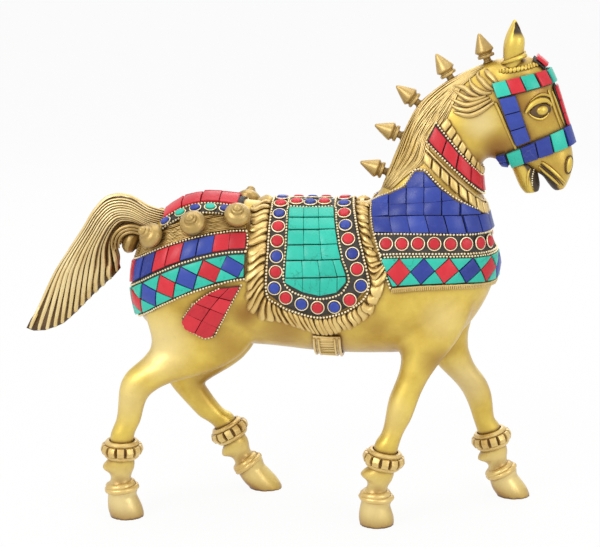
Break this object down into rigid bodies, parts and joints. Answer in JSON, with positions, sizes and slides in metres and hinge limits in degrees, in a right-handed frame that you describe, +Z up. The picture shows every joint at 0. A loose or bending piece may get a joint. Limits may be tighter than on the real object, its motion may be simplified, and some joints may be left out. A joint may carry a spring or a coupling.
{
  "type": "horse statue",
  "caption": "Free-standing walking horse ornament in brass, dressed with inlaid stone mosaic bands, a studded saddle cloth, bells, anklets and mane finials.",
  "frame": {"origin": "on the ground plane, under the middle of the bounding box", "axes": "+X runs from the tail to the head, +Y to the horse's left side, +Z up"},
  "size_m": [0.2752, 0.072, 0.2476],
  "materials": {
    "satin_brass": "satin cast brass with darker patina in the hollows",
    "pale_brass": "paler brass trim, polished on the high spots and dark in the recesses",
    "turquoise_stone": "polished turquoise chips with fine dark veins",
    "red_stone": "polished coral red chips",
    "blue_stone": "polished lapis blue chips",
    "lac_bed": "dark lac bed between the chips"
  },
  "bodies": {
    "root": {"trunk": "satin_brass", "head_and_neck": "satin_brass", "lower_jaw": "satin_brass", "ears": "satin_brass", "tail": "satin_brass", "right_hind_leg": "satin_brass", "left_hind_leg": "satin_brass", "right_fore_leg": "satin_brass", "left_fore_leg": "satin_brass", "right_hind_anklet": "pale_brass", "left_hind_anklet": "pale_brass", "right_fore_anklet": "pale_brass", "left_fore_anklet": "pale_brass", "mane_finials": "pale_brass", "crupper_bells": "pale_brass", "crupper_strap": "pale_brass", "girth_strap": "pale_brass", "saddle_cloth": "pale_brass", "saddle_frill": "pale_brass", "saddle_bed": "lac_bed", "saddle_turquoise": "turquoise_stone", "saddle_red_studs": "red_stone", "saddle_blue_studs": "blue_stone", "saddle_bezels": "pale_brass", "breast_bed": "lac_bed", "breast_blue_stones": "blue_stone", "breast_red_studs": "red_stone", "breast_bezels": "pale_brass", "breast_red_diamonds": "red_stone", "breast_blue_diamonds": "blue_stone", "breast_turquoise": "turquoise_stone", "breast_comb": "pale_brass", "collar_bed": "lac_bed", "collar_red_stones": "red_stone", "collar_blocks": "pale_brass", "rump_bed": "lac_bed", "rump_top_stones": "red_stone", "rump_oval_turquoise": "turquoise_stone", "rump_oval_blue": "blue_stone", "rump_bezels": "pale_brass", "rump_red_stones": "red_stone", "rump_blue_stones": "blue_stone", "rump_red_diamonds": "red_stone", "rump_blue_diamonds": "blue_stone", "rump_turquoise": "turquoise_stone", "thigh_bed": "lac_bed", "thigh_red_stones": "red_stone", "bridle_bed": "lac_bed", "bridle_turquoise": "turquoise_stone", "bridle_red_stones": "red_stone", "bridle_blue_stones": "blue_stone"}
  },
  "joints": []
}
